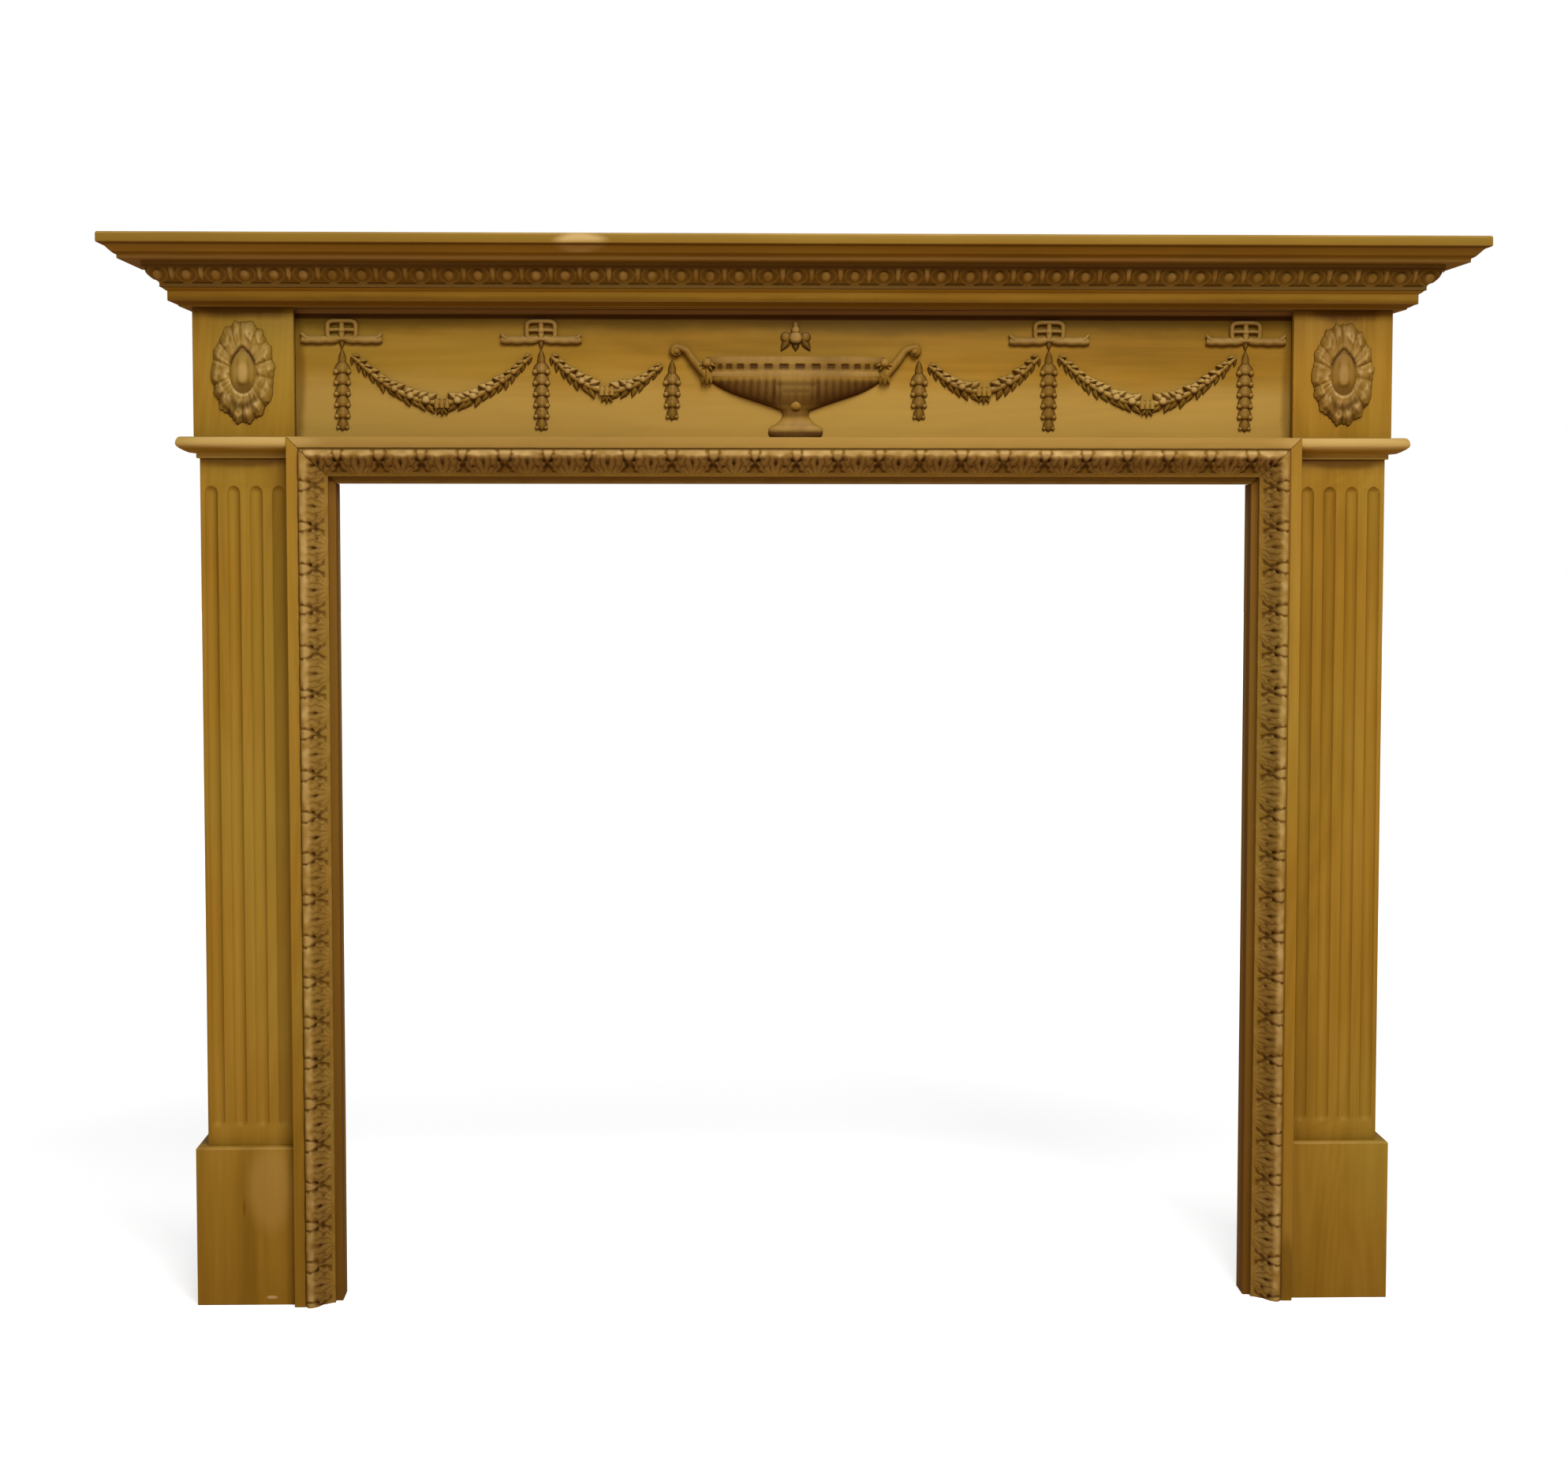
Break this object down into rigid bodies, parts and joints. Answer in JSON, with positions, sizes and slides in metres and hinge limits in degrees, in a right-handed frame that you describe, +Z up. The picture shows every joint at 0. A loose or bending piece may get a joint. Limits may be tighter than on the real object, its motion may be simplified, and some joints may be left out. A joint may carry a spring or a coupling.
{
  "type": "fireplace mantel",
  "caption": "Carved pine fireplace mantel: moulded shelf, frieze with urn, bows and garlands, fluted pilasters on plinths, and a leaf-carved frame round a square opening.",
  "frame": {"origin": "on the floor, midway between the two feet and midway between the wall and the shelf's front edge", "axes": "+Z up, the carved front faces -Y, the back stands against a wall at +Y, +X to the viewer's right"},
  "size_m": [1.705, 0.191, 1.3458],
  "materials": {
    "waxed_pine": "old waxed pine, satin, golden brown",
    "carved_pine": "old waxed carving, satin, darker in its hollows"
  },
  "bodies": {
    "root": {"bow_inner_left": "carved_pine", "bow_inner_right": "carved_pine", "bow_outer_left": "carved_pine", "bow_outer_right": "carved_pine", "capital_left": "waxed_pine", "capital_right": "waxed_pine", "carved_bed_mould_front": "waxed_pine", "carved_bed_mould_left": "waxed_pine", "carved_bed_mould_right": "waxed_pine", "cornice_board": "waxed_pine", "drop_inner_left": "carved_pine", "drop_inner_right": "carved_pine", "drop_outer_left": "carved_pine", "drop_outer_right": "carved_pine", "drop_urn_left": "carved_pine", "drop_urn_right": "carved_pine", "frame_left": "waxed_pine", "frame_right": "waxed_pine", "frame_top": "waxed_pine", "frieze_block_left": "waxed_pine", "frieze_block_right": "waxed_pine", "frieze_board": "waxed_pine", "frieze_side_left": "waxed_pine", "frieze_side_right": "waxed_pine", "jamb_side_left": "waxed_pine", "jamb_side_right": "waxed_pine", "leaf_moulding_left": "carved_pine", "leaf_moulding_right": "carved_pine", "leaf_moulding_top": "carved_pine", "lining_left": "waxed_pine", "lining_right": "waxed_pine", "lining_top": "waxed_pine", "lower_bed_mould_front": "waxed_pine", "lower_bed_mould_left": "waxed_pine", "lower_bed_mould_right": "waxed_pine", "mantel_shelf": "waxed_pine", "patera_left": "carved_pine", "patera_right": "carved_pine", "pilaster_left": "waxed_pine", "pilaster_right": "waxed_pine", "plinth_left": "waxed_pine", "plinth_right": "waxed_pine", "swag_inner_left": "carved_pine", "swag_inner_right": "carved_pine", "swag_outer_left": "carved_pine", "swag_outer_right": "carved_pine", "urn": "carved_pine", "urn_finial": "carved_pine"}
  },
  "joints": []
}
